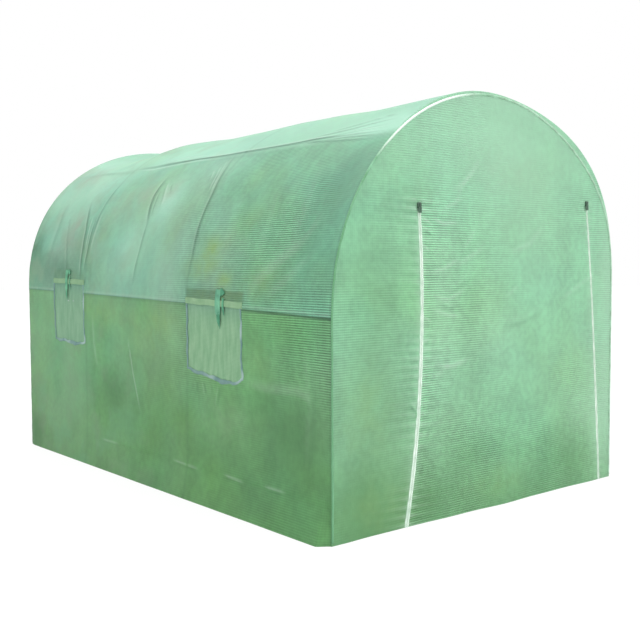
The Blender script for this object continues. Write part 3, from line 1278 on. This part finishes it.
class POLYTUNNEL_OT_windows(Step):
    """Window nets with their wavy hems and the pale band across the top of each."""

    bl_idname = "polytunnel.windows"
    bl_label = "Windows"

    def execute(self, context):
        sizes = settings("windows")
        net_stuff = net_material("Polyethylene insect net, pale green", sizes.net, "#9fc9a1", "#6c9d8b")
        hem_stuff = cloth_material(
            "Woven polypropylene hem tape, grey-blue", sizes.hem_tape, "#648987", "#c5dcd8", 0.005
        )
        band_stuff = cloth_material(
            "Coated polyester band, pale green", sizes.band_tape, "#7ba37c", "#a9c8a4", 0.005, weave=0.08
        )
        for side, mirror in SIDES:
            place, lapped = on_cover(mirror), on_cover(mirror, 0.0016)
            for title, (low, high), rise in zip(TITLES, WINDOWS, RISES):
                which = f"_{side}_{title}"
                net = window_net("window_net" + which, low, high, rise, place, mirror)
                hem = window_hem("window_hem" + which, low, high, rise, sizes.hem, place, mirror)
                band = window_band("window_band" + which, low, high, rise, sizes.band, lapped, not mirror)
                finish_piece(net, net_stuff, "insect_net", "window_nets_" + side)
                finish_piece(hem, hem_stuff, "window_hem", "window_hems_" + side)
                finish_piece(band, band_stuff, "window_hem", "window_hems_" + side)
        return {"FINISHED"}


# Tabs of a tie: way along and start below the loop's top, length, width, pointed or not, tone.
TABS = (
    (0.008, 0.000, 0.118, 0.95, 0.0, -0.25),
    (0.004, 0.105, 0.080, 0.62, 1.0, 0.30),
    (-0.034, 0.040, 0.080, 0.36, 0.6, 0.25),
    (-0.026, 0.000, 0.026, 0.75, 0.0, 0.55),
)


def rolled_flap(name, low, high, centre, way):
    """A window flap rolled up into a loose spiral that fills its box."""
    outer = (high[2] - low[2]) / 2
    y, t = np.meshgrid(np.linspace(low[1], high[1], 34), np.linspace(0, 1, 104))
    angle = 2 * math.pi * FLAP_TURNS * t
    radius = 0.007 + (outer - 0.0085) * t
    radius = radius + 0.0009 * np.sin(3 * angle + 7 * y) * t
    radius = radius - 0.0012 * (0.5 + 0.5 * np.sin(60 * y)) * t
    x = centre[0] + way * radius * np.cos(angle + 2.2)
    z = centre[2] + radius * np.sin(angle + 2.2)
    points, plane = np.stack([x, y, z], axis=-1), np.stack([y, t * FLAP_LENGTH], axis=-1)
    return thicken(sheet_object(name, points, plane, (), None, way < 0), 0.0008)


def strap_loop(centre, outer, y, way):
    """The part of a tie that goes round a rolled flap."""
    angle = np.linspace(0, 2 * math.pi, LOOP_STEPS + 1)[:-1]
    level, upright = way * np.cos(angle), np.sin(angle)
    line = np.stack([
        centre[0] + way * (outer + 0.0002) * np.cos(angle) * 0.985,
        np.full(LOOP_STEPS, y),
        centre[2] + (outer + 0.0006) * upright,
    ], axis=-1)
    outward = np.stack([level, np.zeros(LOOP_STEPS), upright], axis=-1)
    along = np.tile([0.0, 1.0, 0.0], (LOOP_STEPS, 1))
    flat = [(0.0, -0.0125), (0.0, 0.0125), (-0.0012, 0.0125), (-0.0012, -0.0125)]
    return tube_mesh("loop", line, outward, along, flat, 0.0, True)


def strap_tab(tab, y, top, full_width, far, place, mirror):
    """One hanging end of a tie: a row of TABS, cut straight or to a point."""
    offset, start, drop, share, tail, shade = tab
    t = np.linspace(0, 1, 34)
    across = y + offset - 0.010 * t * tail + 0.004 * np.sin(4 * t)
    path = np.stack([across, top - start - drop * t], axis=-1)
    point = 1 - smooth(t, 0.92 - 0.5 * tail, 1.0) * (0.25 + 0.6 * tail)
    width = full_width * share * point * (0.75 if far else 1.0)
    return ribbon("tab", path, width, 0.0006, place, 0.4 * shade if far else shade, mirror)


class POLYTUNNEL_OT_flaps(Step):
    """Rolled-up window flaps inside the cover, with a strap round each and a tab that hangs down."""

    bl_idname = "polytunnel.flaps"
    bl_label = "Rolled flaps and ties"

    def execute(self, context):
        sizes = settings("windows")
        strap_stuff = cloth_material(
            "Woven polypropylene strap, turquoise", sizes.strap, "#2f7a5c", "#93d0b2", 0.004, weave=0.12
        )
        roll_stuff = film_material(
            "Reinforced polyethylene film, rolled",
            colour("#4f8f62"), ("#4b8a57", "#4a9270", "#6d9c80", "#4b8558"), 0.06,
            transparent=0.0, translucent=0.12,
        )
        for side, mirror in SIDES:
            way = 1.0 if mirror else -1.0
            proud = on_cover(mirror, 0.0042)
            for title, front_half, rise in zip(TITLES, (True, False), RISES):
                low, high = part_box("window_flaps_" + side, front_half)
                centre = (low + high) / 2
                centre[0] -= 0.24 * way * rise
                centre[2] += rise
                roll = rolled_flap(f"flap_roll_{side}_{title}", low, high, centre, way)
                finish_piece(roll, roll_stuff, "cover_side_fabric", "window_flaps_" + side)

                tie_low, tie_high = part_box("flap_ties_" + side, front_half)
                tie_y = (tie_low[1] + tie_high[1]) / 2 - (0.050 if front_half else 0.0)
                top = tie_high[2] + rise - 0.006
                far = not front_half
                pieces = [strap_loop(centre, (high[2] - low[2]) / 2, tie_y, way)]
                pieces += [strap_tab(t, tie_y, top, sizes.tab, far, proud, not mirror) for t in TABS]
                tie = join_pieces(f"flap_tie_{side}_{title}", pieces)
                finish_piece(tie, strap_stuff, "tie_strap", "flap_ties_" + side)
        return {"FINISHED"}


def bevel_box(name, centre, size, width, segments=2):
    """A box of that size whose edges are rounded."""
    bpy.ops.object.select_all(action="DESELECT")
    bpy.ops.mesh.primitive_cube_add(size=1.0, location=centre)
    piece = bpy.context.object
    piece.name = name
    piece.scale = size
    bpy.ops.object.transform_apply(location=True, rotation=True, scale=True)
    edit(piece, bpy.ops.mesh.bevel, offset=width, segments=segments, affect="EDGES")
    return piece


def copies(name, model, places):
    """One mesh holding a copy of the model piece, moved to each place."""
    count = len(model.data.vertices)
    points = np.empty(count * 3)
    model.data.vertices.foreach_get("co", points)
    points = points.reshape(-1, 3)
    faces = [list(p.vertices) for p in model.data.polygons]
    moved = (points[None, :, :] + np.array(places)[:, None, :]).reshape(-1, 3)
    every = [[v + i * count for v in face] for i in range(len(places)) for face in faces]
    piece = mesh_object(name, moved, every, np.zeros((len(moved), 2)))
    piece.data.polygons.foreach_set("use_smooth", np.zeros(len(every), dtype=bool))
    bpy.data.objects.remove(model)
    return piece


# Boxes of a zip slider: name, way out from the film and up, size, and radius of the edges.
SLIDER = (
    ("body", 0.0036, 0.0, (0.024, 0.0052, 0.025), 0.0018),
    ("bridge", 0.0066, 0.0, (0.008, 0.003, 0.016), 0.0012),
    ("tab", 0.0070, -0.020, (0.021, 0.0022, 0.026), 0.0010),
)


def zip_tape(name, curve, top, width, wide):
    """White tape of a zip, uneven at its edges and soiled near the top."""
    heights = np.linspace(0.0, top, 260)
    path = np.stack([np.polyval(curve, heights), heights], axis=-1)
    wander = 1 + 0.06 * np.sin(31 * heights) + 0.05 * np.sin(83 * heights)
    wander = wander * wide * (0.82 + 0.18 * smooth(-heights, -0.95, -0.35))
    soiled = 0.25 * np.sin(9 * heights + 1.0) * np.sin(23 * heights)
    soiled = soiled + 0.55 * smooth(heights, top - 0.20, top - 0.04)
    return ribbon(name, path, width * wander, 0.0012, on_front, soiled, False, 0.0008)


def zip_teeth(name, curve, top, pitch):
    """Two rows of teeth, the left and the right ones in turn."""
    tooth = bevel_box("tooth", (0, 0, 0), (0.0042, 0.0016, 0.0026), 0.0004, 1)
    spots = []
    for k, z in enumerate(np.arange(0.006, top - 0.03, pitch / 2)):
        x = float(np.polyval(curve, z)) + (0.0013 if k % 2 else -0.0013)
        spots.append(on_front(np.array(x), np.array(z), 0.0024))
    return copies(name, tooth, spots)


def zip_slider(name, curve, top):
    """Body, bridge and sunk pull tab of a slider, just clear of the film's folds."""
    z = top - 0.013
    x = float(np.polyval(curve, z))
    y = float(on_front(np.full(12, x), np.linspace(z - 0.035, z + 0.013, 12), 0.0)[:, 1].min())
    boxes = [bevel_box(part, (x, y - out, z + up), size, width) for part, out, up, size, width in SLIDER]
    tab = boxes[-1]
    edit(tab, bpy.ops.mesh.select_all, action="DESELECT")
    for face in tab.data.polygons:
        face.select = face.area > 0.0002 and face.normal.y < -0.9
    bpy.ops.object.mode_set(mode="EDIT")
    bpy.ops.mesh.select_mode(type="FACE")
    bpy.ops.mesh.inset(thickness=0.003, depth=-0.0007)
    bpy.ops.object.mode_set(mode="OBJECT")
    slider = join_pieces(name, boxes)
    only(slider)
    bpy.ops.object.shade_smooth_by_angle(angle=math.radians(40))
    return slider


class POLYTUNNEL_OT_zips(Step):
    """The two door zips: white tape, two rows of nylon teeth, and a slider at the top of each."""

    bl_idname = "polytunnel.zips"
    bl_label = "Door zips"

    def execute(self, context):
        sizes = settings("door")
        tape_stuff = cloth_material(
            "Woven polyester zip tape, white", sizes.zip_tape, "#b9d6c1", "#f6fcf7", 0.004,
            weave=0.05, rough=0.8, bump=0.3,
        )
        tooth_stuff = plastic_material("Nylon zip coil, off-white", colour("#d3e2d3"), "#bfd0c0", 0.45)
        slider_stuff = metal_material(
            "Painted zinc zip slider, dark green", sizes.slider, "#2c4637", 0.45, 160.0, metallic=0.0
        )
        for side, (curve, top, wide, _) in ZIPS.items():
            tape = zip_tape("zip_tape_" + side, curve, top, sizes.tape, wide)
            finish_piece(tape, tape_stuff, "zip_tape", "door_zip_" + side)
            teeth = zip_teeth("zip_teeth_" + side, curve, top, sizes.pitch)
            finish_piece(teeth, tooth_stuff, "zip_tape")
        for side, (curve, top, _, _) in ZIPS.items():
            slider = zip_slider("zip_slider_" + side, curve, top)
            finish_piece(slider, slider_stuff, "zip_slider", "zip_sliders")
        return {"FINISHED"}


class POLYTUNNEL_OT_frame(Step):
    """Finishes of the tubes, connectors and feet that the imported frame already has."""

    bl_idname = "polytunnel.frame"
    bl_label = "Frame finishes"

    def execute(self, context):
        parts = settings("frame")
        tube = metal_material("Galvanised steel tube", parts.tube, "#959da0", 0.38, 90.0)
        foot = metal_material("Zinc-plated pressed steel", parts.foot, "#8d9391", 0.42, 140.0)
        joint = plastic_material("Moulded polypropylene, grey-green", parts.joint, "#86ad93", 0.48)
        finishes = (("foot_plates", foot), ("connectors", joint), ("", tube))
        for name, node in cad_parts.items():
            if node.hide_render:
                continue
            material = next(finish for part, finish in finishes if part in name)
            for index in range(len(node.data.materials)):
                node.data.materials[index] = material
        return {"FINISHED"}


# Camera: its place, then its turn from +Y towards +X, its tilt upwards and its roll, in radians.
CAMERA_PLACE = (-3.494, -4.403, 1.155)
TURN, TILT, ROLL = 0.698, -0.0574, -0.0034


def seen_straight(add):
    """1 for what the camera sees, also mirrored or through something clear, and 0 for other light."""
    path = add("LightPath").outputs
    seen = add("larger", path["Is Camera Ray"], path["Is Glossy Ray"])
    return add("larger", seen, path["Is Transmission Ray"])


class POLYTUNNEL_OT_stage(Step):
    """Pale floor, soft studio light and the camera."""

    bl_idname = "polytunnel.stage"
    bl_label = "Floor, light and camera"

    def execute(self, context):
        stage = settings("stage")
        scene = context.scene
        bpy.ops.object.select_all(action="DESELECT")
        bpy.ops.mesh.primitive_plane_add(size=80.0, location=(0, 0, -0.001))
        floor = context.object
        floor.name = "floor"
        # Matt paint that looks almost white to the camera, in gloss and through the film.
        material, add = new_material("Matt white paint on a studio floor")
        cloud = add("range", add("TexNoise", add("TexCoord").outputs["Object"], 1.5), 0.3, 0.7)
        paint = add("BsdfDiffuse", add("mix", cloud, colour("#e9ece9"), colour("#eef0ee")))
        white = add("Emission", (1.0, 1.0, 1.0, 1.0), 1.06)
        share = add("times", seen_straight(add), 0.82)
        add("OutputMaterial", add("MixShader", share, paint, white))
        floor.data.materials.append(material)

        world = bpy.data.worlds.new("Studio")
        scene.world = world
        world.use_nodes = True
        world.node_tree.nodes.clear()
        add = partial(add_node, world.node_tree)
        room = add("Background", (1.0, 1.0, 1.0, 1.0), stage.sky)
        white = add("Background", (1.0, 1.0, 1.0, 1.0), 1.0)
        add("OutputWorld", add("MixShader", seen_straight(add), room, white))

        for name, towards, strength, angle in (
            ("key light", (0.45, -0.75, 0.90), stage.key, 70),
            ("top light", (-0.10, 0.15, 1.00), stage.top, 100),
        ):
            light = bpy.data.lights.new(name, "SUN")
            light.energy = strength
            light.angle = math.radians(angle)
            lamp = bpy.data.objects.new(name, light)
            lamp.rotation_euler = Vector(towards).to_track_quat("Z", "Y").to_euler()
            scene.collection.objects.link(lamp)

        camera = bpy.data.objects.new("camera", bpy.data.cameras.new("camera"))
        camera.data.sensor_width = 36.0
        camera.data.lens = stage.lens
        camera.location = CAMERA_PLACE
        look = (math.sin(TURN) * math.cos(TILT), math.cos(TURN) * math.cos(TILT), math.sin(TILT))
        camera.rotation_euler = Vector(look).to_track_quat("-Z", "Y").to_euler()
        camera.rotation_euler.rotate_axis("Z", ROLL)
        scene.collection.objects.link(camera)
        scene.camera = camera
        scene.view_settings.view_transform = "Standard"
        return {"FINISHED"}


class POLYTUNNEL_PT_panel(bpy.types.Panel):
    """Lists the steps and their settings."""

    bl_idname = "POLYTUNNEL_PT_panel"
    bl_label = "Polytunnel"
    bl_space_type = "VIEW_3D"
    bl_region_type = "UI"
    bl_category = "Polytunnel"

    def draw(self, context):
        for step in STEPS:
            self.layout.operator(step.bl_idname)
        for group, kind in GROUPS.items():
            box = self.layout.box()
            for name in kind.__annotations__:
                box.prop(getattr(context.scene, group), name)


STEPS = (
    POLYTUNNEL_OT_roof,
    POLYTUNNEL_OT_walls,
    POLYTUNNEL_OT_front,
    POLYTUNNEL_OT_rear,
    POLYTUNNEL_OT_welts,
    POLYTUNNEL_OT_windows,
    POLYTUNNEL_OT_flaps,
    POLYTUNNEL_OT_zips,
    POLYTUNNEL_OT_frame,
    POLYTUNNEL_OT_stage,
)


def register():
    """Registers the settings, the steps and the panel."""
    for kind in (*GROUPS.values(), *STEPS, POLYTUNNEL_PT_panel):
        bpy.utils.register_class(kind)
    for group, kind in GROUPS.items():
        setattr(bpy.types.Scene, group, bpy.props.PointerProperty(type=kind))


def unregister():
    """Removes all that register added."""
    for group in GROUPS:
        delattr(bpy.types.Scene, group)
    for kind in reversed((*GROUPS.values(), *STEPS, POLYTUNNEL_PT_panel)):
        bpy.utils.unregister_class(kind)


def main():
    """Builds every piece in order."""
    register()
    for step in STEPS:
        group, name = step.bl_idname.split(".")
        getattr(getattr(bpy.ops, group), name)()


if __name__ == "__main__":
    main()
